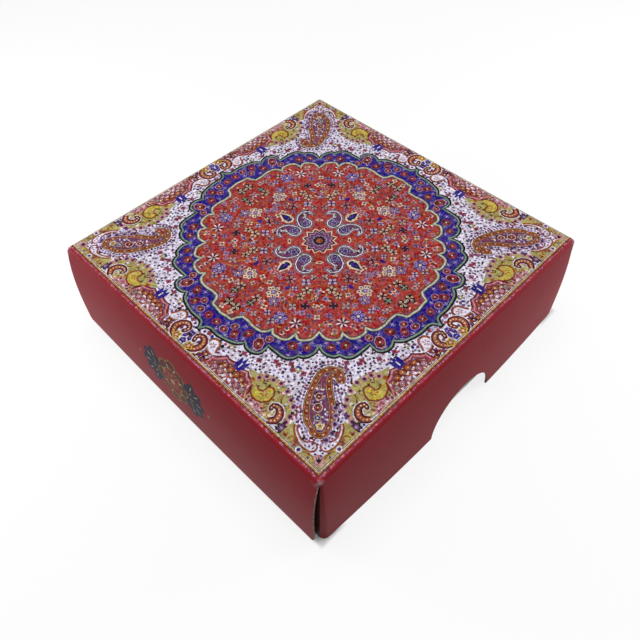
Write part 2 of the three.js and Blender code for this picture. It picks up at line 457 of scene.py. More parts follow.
# Die-cut edge of the board: grey-tan chip core, torn a little into paler and darker fibre.
cut_edge, tree, shader, place = start_material("die_cut_board_edge")
fibre = add_node(tree, "ShaderNodeTexNoise", {"Vector": place, "Scale": per_mm(0.5), "Detail": 5})
ramp = add_node(tree, "ShaderNodeMapRange", {"Value": fibre, "From Min": 0.35, "From Max": 0.7})
tint = add_node(tree, "ShaderNodeMixRGB",
                {"Fac": ramp, "Color1": linear("#544a45"), "Color2": linear("#a5988e")})
bump = add_node(tree, "ShaderNodeBump", {"Height": fibre, "Strength": 0.6, "Distance": 0.0001})
feed(tree, shader, {"Base Color": tint, "Normal": bump, "Roughness": 0.85})

tray = measure_carton("tray", side_spring=(0, 0), end_spring=(0, 0), spread=0, fold_radius=1.7)
tray_finish = [white_board, white_board, cut_edge]
panel_length = crease_places(tray.half_length, tray.crease_radius)
panel_width = crease_places(tray.half_width, tray.crease_radius)
end = panel_length[-1]
side = panel_width[-1]
scores = []
for turn in (-1, 1):
    scores += [((turn * x, -side), (turn * x, side)) for x in panel_length[:-1]]
    scores += [((-end, turn * y), (end, turn * y)) for y in panel_width[:-1]]
bm = cut_blank([(-end, -side), (end, -side), (end, side), (-end, side)], scores, white_board_ink)
piece = link_piece("tray_panel", creased_panel(tray, bm), tray_finish)
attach(piece, "tray")
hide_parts("tray_main_panel")
for name, facing in (("front", -1), ("back", 1)):
    bm = rolled_side(tray, facing, white_board_ink)
    piece = board_piece(f"tray_{name}_side", bm, tray.board, tray_finish)
    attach(piece, "tray")
    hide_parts(f"tray_{name}_wall", f"tray_{name}_rim", f"tray_{name}_lining")
for name, facing in (("right", 1), ("left", -1)):
    bm = flapped_end(tray, facing, white_board_ink)
    piece = board_piece(f"tray_{name}_end", bm, tray.board, tray_finish)
    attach(piece, "tray")
    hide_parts(f"tray_{name}_end_wall", f"tray_{name}_front_flap", f"tray_{name}_back_flap")


# Pad: a block of soft grey foam cut to the inside of the tray, slit for rings and the two ends of a chain.
# It lies loose on the tray's panel and its cut faces show fine open cells.
pad_low, pad_high = box_mm("insert_foam_pad")
card_low, card_high = box_mm("insert_flocked_card")
slit_width = 1
slit_depth = 8
ring_slit = 24
chain_slit = 10
chain_inset = 12
corner_radius = 2


def slit(length, centre, turn):
    """Outline of one slit, turned by this many degrees about its centre."""
    corners = [Vector((x * length / 2, y * slit_width / 2)) for x, y in ((-1, -1), (1, -1), (1, 1), (-1, 1))]
    spin = Matrix.Rotation(math.radians(turn), 2)
    return [tuple(spin @ corner + Vector(centre)) for corner in corners]


def rounded_rectangle(half_length, half_width, radius):
    """Outline of a rectangle with round corners."""
    points = []
    for quarter, (x, y) in enumerate(((1, 1), (-1, 1), (-1, -1), (1, -1))):
        for step in range(arc_steps + 1):
            angle = math.pi / 2 * (quarter + step / arc_steps)
            points.append((x * (half_length - radius) + radius * math.cos(angle),
                           y * (half_width - radius) + radius * math.sin(angle)))
    return points


def slit_blank(outline):
    """Flat face of the pad or its card, as a bmesh and the faces that lie in a slit."""
    chain_x = pad_high.x - chain_inset
    chain_y = pad_high.y - chain_inset
    slits = [slit(ring_slit, (0, 0), 0), slit(chain_slit, (chain_x, chain_y), -45),
             slit(chain_slit, (-chain_x, chain_y), 45)]
    bm = cut_blank(outline, [], "#ffffff", [("#000000", shape) for shape in slits])
    layer = bm.loops.layers.float_color["ink"]
    return bm, [face for face in bm.faces if face.loops[0][layer][0] < 0.5]


# Polyurethane foam, knife cut: pale grey, matt, with open cells of about half a millimetre.
foam, tree, shader, place = start_material("knife_cut_foam")
cells = add_node(tree, "ShaderNodeTexVoronoi", {"Vector": place, "Scale": per_mm(0.5)})
tone = add_node(tree, "ShaderNodeTexNoise", {"Vector": place, "Scale": per_mm(6), "Detail": 3})
# Each cell darkens towards its middle: painted shade in the open pores.
pore_painted_shade = add_node(tree, "ShaderNodeMapRange", {"Value": cells, "From Max": 0.7})
shade = add_node(tree, "ShaderNodeMath", {0: pore_painted_shade, 1: tone}, operation="MULTIPLY")
tint = add_node(tree, "ShaderNodeMixRGB",
                {"Fac": shade, "Color1": linear("#8e8d8c"), "Color2": linear("#d8d6d3")})
bump = add_node(tree, "ShaderNodeBump", {"Height": cells, "Strength": 0.5, "Distance": 0.0002})
feed(tree, shader, {"Base Color": tint, "Normal": bump, "Roughness": 0.95})

pad_rounding = 0.7
pad_top = rounded_rectangle(pad_high.x - pad_rounding, pad_high.y - pad_rounding, corner_radius)
bm, slit_faces = slit_blank(pad_top)
pad_side = [edge for edge in bm.edges if edge.is_boundary]
made = bmesh.ops.extrude_face_region(bm, geom=slit_faces)["geom"]
bmesh.ops.delete(bm, geom=slit_faces, context="FACES_ONLY")
bmesh.ops.translate(bm, verts=[item for item in made if isinstance(item, bmesh.types.BMVert)],
                    vec=(0, 0, card_high.z - slit_depth - pad_high.z))
pad_height = pad_high.z - pad_low.z
shoulder = 0.3 * pad_rounding
rings = [(shoulder, shoulder), (0, pad_rounding), (0, pad_height / 2), (0, pad_height - pad_rounding),
         (shoulder, pad_height - shoulder), (pad_rounding, pad_height)]
last = pad_rounding
for inset, depth in rings:
    made = bmesh.ops.extrude_edge_only(bm, edges=pad_side)["geom"]
    for item in made:
        if isinstance(item, bmesh.types.BMVert):
            item.co.x *= (pad_high.x - inset) / (pad_high.x - last)
            item.co.y *= (pad_high.y - inset) / (pad_high.y - last)
            item.co.z = -depth
    pad_side = [item for item in made if isinstance(item, bmesh.types.BMEdge) and item.is_boundary]
    last = inset
bmesh.ops.contextual_create(bm, geom=pad_side)
bmesh.ops.recalc_face_normals(bm, faces=bm.faces)
bmesh.ops.translate(bm, verts=bm.verts, vec=(0, 0, pad_high.z))
piece = link_piece("foam_pad", bm, [foam])
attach(piece, "insert")
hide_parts("insert_foam_pad")


# Cover card: thin card flocked with short white pile, laid on the pad with its slits over the pad's slits.
# The pile is a quarter of a millimetre long and takes the light softly at a low angle.
flock, tree, shader, place = start_material("flocked_card")
pile = add_node(tree, "ShaderNodeTexNoise", {"Vector": place, "Scale": per_mm(0.3), "Detail": 4})
brush = add_node(tree, "ShaderNodeTexNoise", {"Vector": place, "Scale": per_mm(14), "Detail": 3})
shade = add_node(tree, "ShaderNodeMath", {0: pile, 1: brush}, operation="ADD")
spread = add_node(tree, "ShaderNodeMapRange", {"Value": shade, "From Min": 0.7, "From Max": 1.3})
tint = add_node(tree, "ShaderNodeMixRGB",
                {"Fac": spread, "Color1": linear("#cfcac2"), "Color2": linear("#f1eee8")})
bump = add_node(tree, "ShaderNodeBump", {"Height": pile, "Strength": 0.7, "Distance": 0.0002})
feed(tree, shader, {"Base Color": tint, "Normal": bump, "Roughness": 0.9, "Sheen Weight": 0.4})

bm, slit_faces = slit_blank(rounded_rectangle(card_high.x, card_high.y, corner_radius))
bmesh.ops.delete(bm, geom=slit_faces, context="FACES")
bmesh.ops.translate(bm, verts=bm.verts, vec=(0, 0, card_high.z))
piece = board_piece("flocked_card", bm, card_high.z - card_low.z, [flock, flock, flock])
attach(piece, "insert")
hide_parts("insert_flocked_card")


# Lid ends and sides: the upper half of the carton, one size up, offset printed red and film laminated outside.
# Its walls spread and bow a little because the folds spring open; each end wall has a thumb notch in its rim.
lid = measure_carton("lid", side_spring=(2.1, 0.39), end_spring=(1.1, 1.1), spread=1.1, fold_radius=1.7)
madder_red = "#871f29"
# Dark maroon printed on the lid's end flaps: painted shade, so that the slits at the corners of the lid look
# dark.
painted_flap_shade = "#4a0c10"
worn_tip = (0.0879, 0.0896)
worn_height = (0.0262, 0.0276)

# Offset ink under a satin film: the flood is even with a fine mottle; the carpet picture shows the threads of
# the carpet it was drawn from as grains of 0.45 mm that differ a little in brightness, greyness and hue.
# The corners of the top are rubbed through to the pale board.
laminated_print, tree, shader, place = start_material("laminated_offset_print")
ink = add_node(tree, "ShaderNodeAttribute", attribute_name="ink")
screen = add_node(tree, "ShaderNodeTexNoise", {"Vector": place, "Scale": per_mm(0.35), "Detail": 2})
cloud = add_node(tree, "ShaderNodeTexNoise", {"Vector": place, "Scale": per_mm(9), "Detail": 3})
mottle = add_node(tree, "ShaderNodeMath", {0: screen, 1: cloud}, operation="ADD")
even = add_node(tree, "ShaderNodeMapRange",
                {"Value": mottle, "From Min": 0.6, "From Max": 1.4, "To Min": 0.88, "To Max": 1.12})
threads = add_node(tree, "ShaderNodeTexVoronoi", {"Vector": place, "Scale": per_mm(0.45)})
grain = add_node(tree, "ShaderNodeSeparateColor", {"Color": threads.outputs["Color"]})
toned = add_node(tree, "ShaderNodeHueSaturation", {"Color": ink})
for socket, base, channel, low, high in (("Value", even, "Red", -0.41, 0.25),
                                         ("Saturation", 1, "Green", -0.2, 0.12),
                                         ("Hue", 0.5, "Blue", -0.014, 0.026)):
    change = add_node(tree, "ShaderNodeMapRange",
                      {"Value": grain.outputs[channel], "To Min": low, "To Max": high})
    level = add_node(tree, "ShaderNodeMath", {0: change, 1: ink.outputs["Alpha"], 2: base},
                     operation="MULTIPLY_ADD")
    feed(tree, toned, {socket: level})
away = add_node(tree, "ShaderNodeVectorMath", {0: place}, operation="ABSOLUTE")
axes = add_node(tree, "ShaderNodeSeparateXYZ", {0: away})
reach = add_node(tree, "ShaderNodeMath", {0: axes.outputs["X"], 1: axes.outputs["Y"]}, operation="ADD")
tip = add_node(tree, "ShaderNodeMapRange", {"Value": reach, "From Min": worn_tip[0], "From Max": worn_tip[1]})
crown = add_node(tree, "ShaderNodeMapRange",
                 {"Value": axes.outputs["Z"], "From Min": worn_height[0], "From Max": worn_height[1]})
rub = add_node(tree, "ShaderNodeTexNoise", {"Vector": place, "Scale": per_mm(0.7), "Detail": 4})
worn = add_node(tree, "ShaderNodeMapRange", {"Value": rub, "From Min": 0.42, "From Max": 0.58})
for limit in (tip, crown):
    worn = add_node(tree, "ShaderNodeMath", {0: worn, 1: limit}, operation="MULTIPLY")
rubbed = add_node(tree, "ShaderNodeMixRGB", {"Fac": worn, "Color1": toned, "Color2": linear("#b39aa6")})
bump = add_node(tree, "ShaderNodeBump", {"Height": screen, "Strength": 0.12, "Distance": 0.00003})
feed(tree, shader, {"Base Color": rubbed, "Normal": bump, "Roughness": 0.46, "Specular IOR Level": 0.045})

# Back of the printed board: uncoated greyish white, a little fibrous.
board_back, tree, shader, place = start_material("uncoated_board_back")
fibre = add_node(tree, "ShaderNodeTexNoise", {"Vector": place, "Scale": per_mm(0.6), "Detail": 5})
tint = add_node(tree, "ShaderNodeMixRGB",
                {"Fac": fibre, "Color1": linear("#c9c5be"), "Color2": linear("#e9e6e0")})
bump = add_node(tree, "ShaderNodeBump", {"Height": fibre, "Strength": 0.3, "Distance": 0.00005})
feed(tree, shader, {"Base Color": tint, "Normal": bump, "Roughness": 0.8})

lid_finish = [laminated_print, board_back, cut_edge]
thumb_notch = SimpleNamespace(width=21.7, height=11.5, offset=1.7, steps=36)
for name, facing in (("right", 1), ("left", -1)):
    bm = flapped_end(lid, facing, madder_red, thumb_notch, painted_flap_shade)
    piece = board_piece(f"lid_{name}_end", bm, lid.board, lid_finish)
    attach(piece, "lid")
    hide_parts(f"lid_{name}_end_wall", f"lid_{name}_front_flap", f"lid_{name}_back_flap")


def ellipse(x, y, radius, sides=8, stretch=1, turn=0):
    """Outline of a disc, or of an oval stretched along its turned first axis."""
    points = []
    for side in range(sides):
        angle = 2 * math.pi * side / sides
        along = radius * stretch * math.cos(angle)
        across = radius * math.sin(angle)
        points.append((x + along * math.cos(turn) - across * math.sin(turn),
                       y + along * math.sin(turn) + across * math.cos(turn)))
    return points


# The medallion on the front wall is a plain gold rosette between two fans of navy leaves.
navy = "#1f2036"
antique_gold = "#8a6a34"
pale_gold = "#bfae88"
umber = "#5a2824"
medallion_x = -2
medallion_z = -12.4
medallion = []
for side in (-1, 1):
    medallion.append((navy, ellipse(medallion_x + side * 7.2, medallion_z, 5, 14, 0.76)))
    for turn in (-1.3, -0.65, 0, 0.65, 1.3):
        leaf_x = medallion_x + side * (6.4 + 3.3 * math.cos(turn))
        leaf_z = medallion_z + 4.4 * math.sin(turn)
        medallion.append((navy, ellipse(leaf_x, leaf_z, 1.5, 8, 1.5, side * turn)))
        medallion.append((pale_gold, ellipse(leaf_x, leaf_z, 0.17, 4, 7, side * turn)))
    for turn in (-0.9, 0, 0.9):
        medallion.append((antique_gold, ellipse(medallion_x + side * (6.2 + math.cos(turn)),
                                                medallion_z + 2.4 * math.sin(turn), 0.3, 6, 3, side * turn)))
    medallion.append((antique_gold, ellipse(medallion_x + side * 13.4, medallion_z, 0.5, 6, 1.6, 1)))
for radius, colour in ((6.2, antique_gold), (5.8, umber), (4, antique_gold), (3.6, madder_red)):
    for lobe in range(8):
        angle = math.pi / 4 * lobe
        medallion.append((colour, ellipse(medallion_x + 0.6 * radius * math.cos(angle),
                                          medallion_z + 0.86 * radius * math.sin(angle), 0.36 * radius, 8)))
    medallion.append((colour, ellipse(medallion_x, medallion_z, 0.72 * radius, 10, 0.8)))
for lobe in range(16):
    angle = math.pi / 8 * lobe
    colour, reach = ((antique_gold, 2.4), (pale_gold, 5.2))[lobe % 2]
    ray = ellipse(medallion_x + 0.65 * reach * math.cos(angle), medallion_z + reach * math.sin(angle), 0.24, 5,
                  3.4, angle)
    medallion.append((colour, ray))
medallion.append((pale_gold, ellipse(medallion_x, medallion_z, 0.8, 8)))

for name, facing, prints in (("front", -1, medallion), ("back", 1, ())):
    bm = rolled_side(lid, facing, madder_red, prints)
    piece = board_piece(f"lid_{name}_side", bm, lid.board, lid_finish)
    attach(piece, "lid")
    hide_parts(f"lid_{name}_wall", f"lid_{name}_rim", f"lid_{name}_lining")


# Lid top: the panel with the carpet print, a red medallion in a blue border on a pale flowered ground with a
# paisley in each corner. The print is one quarter, mirrored twice, and sits a little off the panel's middle.
inks = {
    "red": "#a02929",
    "cream": "#d8bda6",
    "pink": "#bf878c",
    "gold": "#ad8440",
    "yellow": "#a89a5a",
    "saffron": "#bda748",
    "white": "#dad4e6",
    "plum": "#683a5e",
    "indigo": "#231a7e",
    "azure": "#4a55a8",
    "rose": "#a03c4e",
    "orange": "#9c4a28",
    "maroon": "#561a22",
    "dark": "#201822",
    "sage": "#78907f",
    "moss": "#707c38",
    "lilac": "#9a86b2",
}
prints = []
print_reach = 47.5
border = 43.9
rng = random.Random(7)


def pick(*colours):
    """One of these inks at random."""
    return rng.choice(colours)


def polar(x, y, reach, angle):
    """The point at this distance and in this direction from another."""
    return x + reach * math.cos(angle), y + reach * math.sin(angle)


def lay(ink, points):
    """Lays one printed shape, its points in the order that the mesh needs."""
    area = sum(a[0] * b[1] - b[0] * a[1] for a, b in zip(points, [*points[1:], points[0]]))
    prints.append((inks[ink], points if area > 0 else points[::-1]))


def mirror_octant(start):
    """Lays again, mirrored about the diagonal of the quarter, every shape laid since this count of shapes."""
    prints.extend([(ink, [(y, x) for x, y in points][::-1]) for ink, points in prints[start:]])


def dot(ink, x, y, radius, stretch=1, turn=0):
    """Lays a disc or an oval; a small one has few corners."""
    sides = 4 if radius < 0.4 else 5 if radius < 0.7 else 7
    lay(ink, ellipse(x, y, radius, sides, stretch, turn))


def curve(points, steps=3):
    """A smooth line through these points; a third number, such as a width, is smoothed with them."""
    knots = [Vector(point) for point in points]
    knots = [knots[0], *knots, knots[-1]]
    line = []
    for before, start, end, after in zip(knots, knots[1:], knots[2:], knots[3:]):
        for step in range(steps):
            t = step / steps
            line.append((2 * start + (end - before) * t + (2 * before - 5 * start + 4 * end - after) * t * t
                         + (3 * start - before - 3 * end + after) * t ** 3) / 2)
    line.append(knots[-1])
    return line


def along(points, pitch):
    """Spots every so many millimetres on a smooth line, each with the direction of the line there."""
    line = curve(points)
    walked = pitch / 2
    for start, end in zip(line, line[1:]):
        step = end - start
        while walked < step.length:
            spot = start + step * (walked / step.length)
            yield spot.x, spot.y, math.atan2(step.y, step.x)
            walked += pitch
        walked -= step.length


def swept(spine, grow=0, steps=2):
    """Outline swept along a smooth spine of (x, y, half width), round at its start and narrow at its end."""
    line = curve(spine, steps)
    left = []
    right = []
    for index, spot in enumerate(line):
        ahead = line[min(index + 1, len(line) - 1)]
        behind = line[max(index - 1, 0)]
        side = (ahead - behind).xy.normalized().orthogonal() * max(spot.z + grow, 0.03)
        left.append(tuple(spot.xy + side))
        right.append(tuple(spot.xy - side))
    start = line[0].xy
    radius = max(line[0].z + grow, 0.03)
    heading = math.atan2(line[1].y - start.y, line[1].x - start.x)
    cap_steps = 4 if radius < 1 else 6
    turns = [heading - math.pi / 2 - math.pi * step / cap_steps for step in range(1, cap_steps)]
    cap = [polar(start.x, start.y, radius, turn) for turn in turns]
    return right[::-1] + cap + left


def sweep(spine, *layers):
    """Lays a swept shape in layers of (growth, ink), each over the last."""
    for grow, ink in layers:
        lay(ink, swept(spine, grow))


def stroke(ink, points, width, steps=2):
    """Lays a line of even width through these points."""
    lay(ink, swept([(x, y, width / 2) for x, y in points], 0, steps))


def hatch(points, pitch, length, *colours):
    """Lays short bars across a line, in turn in these inks."""
    for number, (x, y, heading) in enumerate(along(points, pitch)):
        dot(colours[number % len(colours)], x, y, 0.36 * pitch, length / pitch / 0.72, heading + math.pi / 2)


def lobed(x, y, radius, lobes, depth, turn=0.0):
    """Outline of a flower with this many lobes."""
    points = []
    for number in range(3 * lobes):
        angle = turn + 2 * math.pi / 3 * number / lobes
        reach = radius * (1, 1, 1 - depth)[number % 3]
        points.append(polar(x, y, reach, angle))
    return points


def bloom(x, y, radius, rim, petal, heart, petals=6):
    """Lays a flower: a lobed rim, its petals and a heart."""
    lay(rim, lobed(x, y, radius, petals, 0.3))
    lay(petal, lobed(x, y, 0.72 * radius, petals, 0.4))
    dot(heart, x, y, 0.32 * radius)


def posy(x, y, radius, ground, petal, tip, heart, petals=6):
    """Lays an open flower: a dark ground, petals that stand apart with a tip each, and a heart."""
    lay(ground, lobed(x, y, radius, petals, 0.2))
    for number in range(petals):
        angle = 2 * math.pi * number / petals + rng.uniform(-0.2, 0.2)
        reach = radius * rng.uniform(0.55, 0.72)
        spot = polar(x, y, reach, angle)
        dot(petal, *spot, 0.28 * radius, 1.3, angle)
        dot(tip, *spot, 0.13 * radius, 1.3, angle)
    dot(heart, x, y, 0.24 * radius)


def rose(x, y, radius, rim="pink", turn=0.0):
    """Lays a rose: a pale rim, a dark red flower, two pale petal lines and a heart."""
    oval = rng.uniform(1.05, 1.45)
    dot(rim, x, y, 0.93 * radius, oval, turn)
    dot("maroon", x, y, 0.78 * radius, oval, turn)
    for side in (-1, 1):
        petal = [polar(x, y, 0.5 * radius, turn + side * angle) for angle in (0.5, 1.4, 2.4)]
        stroke("rose", petal, 0.26 * radius)
    dot("cream", x, y, 0.22 * radius)


def daisy(x, y, radius, *colours):
    """Lays a burst of thin petals, in turn in these inks."""
    for number in range(12):
        angle = math.pi / 6 * number
        dot(colours[number % len(colours)], *polar(x, y, 0.56 * radius, angle), 0.12 * radius, 3.6, angle)
    dot("maroon", x, y, 0.2 * radius)


def roundel(x, y, radius, *colours):
    """Lays discs inside each other, from the rim inwards."""
    for number, colour in enumerate(colours):
        dot(colour, x, y, radius * (1 - number / len(colours)))


def scallops(runs):
    """One quarter of a scalloped outline: runs of (degrees, radius) between cusps, mirrored at 45 degrees."""
    octant = []
    for run in runs:
        octant += [tuple(spot) for spot in curve(run, 2)[:-1]]
    octant.append(runs[-1][-1])
    quarter = octant + [(90 - angle, radius) for angle, radius in reversed(octant[:-1])]
    return [polar(0, 0, radius, math.radians(angle)) for angle, radius in quarter]


def reach_at(runs, x, y):
    """Radius of a scalloped outline in the direction of this point."""
    angle = math.degrees(math.atan2(y, x))
    angle = min(angle, 90 - angle)
    spots = [spot for run in runs for spot in run]
    for start, end in zip(spots, spots[1:]):
        if start[0] <= angle <= end[0] and end[0] > start[0]:
            return start[1] + (end[1] - start[1]) * (angle - start[0]) / (end[0] - start[0])
    return spots[-1][1]


outer_edge = [[(0, 38.6), (1.2, 37.1), (3.3, 36.6), (7.4, 36.9), (12.7, 36.7), (15.3, 36.3), (17.5, 35.3)],
              [(17.5, 35.3), (18.7, 36.2), (20.5, 36.8), (22.6, 36.9), (24.6, 36.3), (25.9, 34.1)],
              [(25.9, 34.1), (29.9, 35.3), (32, 36), (34.1, 36.4), (36, 36.1), (37.7, 35.3)],
              [(37.7, 35.3), (39.6, 35.6), (41.7, 35.1), (43.6, 34.1), (45, 32.4)]]
inner_edge = [[(0, 31.9), (3.8, 31.6), (6.1, 31.6), (7.2, 30.4), (9, 29.5)],
              [(9, 29.5), (12.8, 29.8), (15.5, 30.4), (18.5, 30.8), (20.5, 30.9), (22.7, 30.4), (24.4, 29.3)],
              [(24.4, 29.3), (25.4, 30.6), (27.7, 31.1), (29.4, 31.4), (31.6, 31.3), (33.2, 30.7),
               (34.8, 29.3)],
              [(34.8, 29.3), (36.1, 30.7), (38, 31), (41, 30.7), (42.8, 30.1), (45, 28.5)]]


def inside(points, x, y):
    """True where this point lies within an outline."""
    crossings = 0
    for (ax, ay), (bx, by) in zip(points, [*points[1:], points[0]]):
        if (ay > y) != (by > y) and x < ax + (bx - ax) * (y - ay) / (by - ay):
            crossings += 1
    return crossings % 2 == 1


def jittered(pitch, reach):
    """Spots over the quarter, one in each square of this pitch, each at random in its square."""
    count = int(reach / pitch) + 1
    for column in range(count):
        for row in range(count):
            yield (column + rng.uniform(0.1, 0.9)) * pitch, (row + rng.uniform(0.1, 0.9)) * pitch


def scatter(count, colours, across, up, sizes, stretch=1):
    """Lays dots at random over a rectangle, its two ranges given; stretched dots are turned at random too."""
    for number in range(count):
        dot(rng.choice(colours), rng.uniform(*across), rng.uniform(*up), rng.uniform(*sizes), stretch,
            rng.uniform(0, 3) if stretch > 1 else 0)


# Border lines of the print and the pale ground inside them
for place, ink in ((border + 1.02, "rose"), (border + 0.4, "maroon"), (border + 0.2, "gold"),
                   (border - 0.1, "cream"), (border - 0.3, "dark"), (border - 0.45, "white")):
    lay(ink, [(0, 0), (place, 0), (place, place), (0, place)])
octant_start = len(prints)
for x, y, heading in along([(0, border + 0.72), (border + 0.72, border + 0.72)], 0.6):
    dot(pick("pink", "rose", "lilac", "plum", "rose"), x, y + rng.uniform(-0.2, 0.2), rng.uniform(0.12, 0.2),
        rng.uniform(1, 2.4), rng.uniform(-0.5, 0.5))
for x, y, heading in along([(0, border + 0.05), (border, border + 0.05)], 0.9):
    dot("orange", x, y, 0.14, 1.8)
mirror_octant(octant_start)
ground_start = len(prints)

# Motifs along the edge of the print, drawn in one octant and mirrored about the diagonal of the quarter
octant_start = len(prints)
for x, y in ((20.1, 32.3), (19.2, 32.2), (25.6, 30.2), (21.9, 30.3), (12.6, 35.6), (16.3, 34.5), (2.9, 37.4),
             (31.2, 23.3)):
    bloom(x, y, 0.75, "plum", "rose", "dark", 4)
roundel(24, 30.3, 0.9, "yellow", "yellow", "white")
roundel(9.3, 36.4, 0.8, "yellow", "white")
for x, y in ((0.3, 40.2), (0.7, 41.3), (0.2, 42.6)):
    dot("indigo", x, y, 0.6, 1.5, 1.1)
    dot("lilac", x, y, 0.25)
mound = [(7.7, 43.3), (7.9, 41.5), (9.4, 39.4), (11.3, 38.6), (14.6, 38.2), (18, 38.5), (19.8, 39.6),
         (20.9, 41.4), (21.1, 43.3)]
for x, y in ((6.7, 41.5), (5.4, 41.9), (6.3, 42.6), (4.9, 42.9), (7.2, 42.9)):
    roundel(x, y, 0.75, "maroon", "orange", "cream")
lay("orange", [tuple(spot) for spot in curve(mound)])
for number in range(6):
    place = 10.2 + 1.76 * number
    roundel(place, 40.3 + 0.12 * abs(number - 2.5), 1.02, "maroon", "orange", "orange", "cream")
    roundel(place + 0.3, 42.1, 0.9, "plum", "pink", "rose", "white")
    for x, y in ((place + 0.9, 41.2), (place - 0.4, 41.3), (place - 0.7, 42.9), (place + 1.1, 39.9)):
        dot(pick("cream", "white", "cream", "maroon"), x, y, 0.28, 1.4, rng.uniform(0, 3))
for first in (8.2, 17.9):
    for row in (42.75, 43.2):
        hatch([(first, row), (first + 2.6, row)], 0.5, 0.4, "plum", "white", "maroon")
for turn in (0.5, 1.57, 2.64):
    dot("white", *polar(14.6, 41.9, 1, turn), 0.34, 2.2, turn)
dot("orange", 14.6, 42, 0.4)
feathers = []
for number, (x, y, heading) in enumerate(along(mound, 1.05)):
    lift = (0.25, 0.2, -0.3)[number % 3]
    feathers.append((x - lift * math.sin(heading), y + lift * math.cos(heading)))
for inset, ink, width in ((0.5, "rose", 1), (0, "maroon", 0.3), (0.45, "pink", 0.3), (0.95, "plum", 0.3)):
    arch = [(14.6 + (x - 14.6) * (1 - inset / 6.5), y + inset) for x, y in feathers if y + inset < 43.1]
    stroke(ink, arch, width, 1)
for shift in (-1, 1, 0):
    leaf_top = 35.9 if shift == 0 else 36.4
    sweep([(14.4 + 0.5 * shift, 39, 0.5), (14.4 + 0.7 * shift, 38, 0.66), (14.4 + 1.15 * shift, leaf_top, 0.1)],
          (0, "indigo"))
stroke("white", [(14.4, 38.7), (14.4, 37.5)], 0.32, 2)
sweep([(5.9, 38.7, 1.2), (6.6, 39.7, 0.95), (7.9, 40.4, 0.2)], (0.6, "maroon"), (0.4, "orange"), (0, "white"))
for turn in (0.3, 1.5, 2.8, 4, 5.2):
    dot("orange", *polar(6, 38.9, 0.55, turn), 0.16, 2.8, turn)


def hooked_leaf(spine):
    """Lays a curled leaf: a pale rim, a dark line, an orange body and a row of pale dots."""
    sweep(spine, (0.45, "white"), (0.25, "maroon"), (-0.2, "orange"))
    for x, y, heading in along([(x, y) for x, y, width in spine], 0.75):
        dot("cream", x, y, 0.24)


hooked_leaf([(1.9, 41, 0.3), (1.5, 39.7, 0.4), (2.7, 39, 0.55), (4, 39.9, 0.7), (4.3, 41.4, 0.75),
             (3.4, 42.8, 0.6), (2.2, 43.3, 0.3)])
bloom(2.2, 42.7, 1.25, "saffron", "orange", "cream", 5)
yellow_ground = [(16.2, 37.4), (18.9, 36.6), (21, 35.2), (24, 34.7), (27.2, 35.5), (29.7, 37.2), (31.3, 39.4),
                 (32.4, 41.2), (30.2, 42.6), (25.5, 43.3), (21.4, 43.3), (20.9, 41.4), (19.6, 39.3)]
lay("yellow", [tuple(spot) for spot in curve(yellow_ground)])
for x, y, turn in ((21.6, 37.2, 0.4), (25.8, 37.2, 2.6), (28.2, 38, 5.2), (25.7, 41.2, 1.2)):
    spiral = ((0, 0.3), (1.6, 0.55), (3.2, 0.8), (4.4, 1.3))
    curl = [polar(x, y, reach, turn + angle) for angle, reach in spiral]
    stroke(pick("orange", "maroon"), curl, 0.3)
scatter(76, ("moss", "white", "sage", "moss", "maroon", "white", "plum", "orange"), (18.8, 31.4), (35.4, 43.2),
        (0.2, 0.4), 1.3)
lay("pink", [(21.17, 42.07), (22.93, 41.33), (25.27, 41.43), (26.67, 42.33), (26.93, 43.27), (21.43, 43.27)])
scatter(20, ("plum", "rose", "white", "orange", "maroon"), (21.4, 26.6), (41.6, 43.2), (0.25, 0.42))
sweep([(23.7, 38.2, 0.7), (24, 39.4, 1.1), (22.8, 40.4, 0.9), (21.2, 40.2, 0.5), (20.3, 39.2, 0.2)],
      (0.55, "maroon"), (0.35, "orange"), (0.1, "saffron"))
for turn in (0.2, 1.3, 2.4, 3.5, 4.6, 5.7):
    dot("orange", *polar(23.3, 39.3, 0.6, turn), 0.17, 2.6, turn)
for x, y in ((19.6, 37.4), (20.6, 36.1), (22.2, 35.7), (24, 35.2), (26.4, 35.6), (28.4, 36.5), (29.9, 37.3),
             (31.1, 39.3), (31.4, 40.8)):
    roundel(x, y, 0.78, "pink", "plum", "dark")
hooked_leaf([(27, 40.8, 0.25), (26.7, 39.9, 0.4), (28, 39.5, 0.55), (29.3, 40.5, 0.7), (29.5, 42, 0.7),
             (28.3, 43.1, 0.5)])
for x, y in ((27.6, 41.2), (27.9, 42.1), (27, 42.6)):
    dot("cream", x, y, 0.4)
bloom(31.7, 42.2, 1.3, "dark", "plum", "lilac", 6)
lay("yellow", [(32.3, 39.6), (33.4, 40), (35, 41), (36.6, 41.8), (38.4, 42.3), (40, 42), (41.4, 41.9),
               (43.3, 41.4), (43.3, 43.4), (32.3, 43.4)])
scatter(16, ("rose", "plum", "moss", "maroon", "orange"), (32.6, 41.6), (42.1, 43.2), (0.2, 0.36), 1.3)
sweep([(38.9, 40.9, 0.9), (37.8, 41.5, 0.55), (36.5, 41.6, 0.25), (35, 41.1, 0.15), (33.9, 40.4, 0.12),
       (33.2, 39.6, 0.05)], (0.4, "maroon"), (0.28, "orange"), (-0.02, "white"))
for x, y in ((38.6, 40.4), (39.3, 41), (38.5, 41.2), (37.8, 41.6)):
    dot("plum", x, y, 0.22, 1.6, x)
stroke("orange", [(34.2, 42.8), (34.5, 42), (35.4, 42), (35.9, 42.6), (36.8, 42.5)], 0.32)
stroke("orange", [(38.53, 42.87), (38.97, 42.37), (39.63, 42.53), (40.37, 42.23), (41.03, 42.67)], 0.28)
roundel(37.5, 43.1, 0.72, "white", "plum", "indigo")
mirror_octant(octant_start)
dot("pink", 42, 42, 1.1, 1.3, math.pi / 4)
for share, length in ((0.25, 3), (0.02, 2.2), (0.48, 2.2)):
    turn = share * math.pi
    dot("dark", *polar(42.2, 42.2, -0.3, turn), 0.27, length, turn)

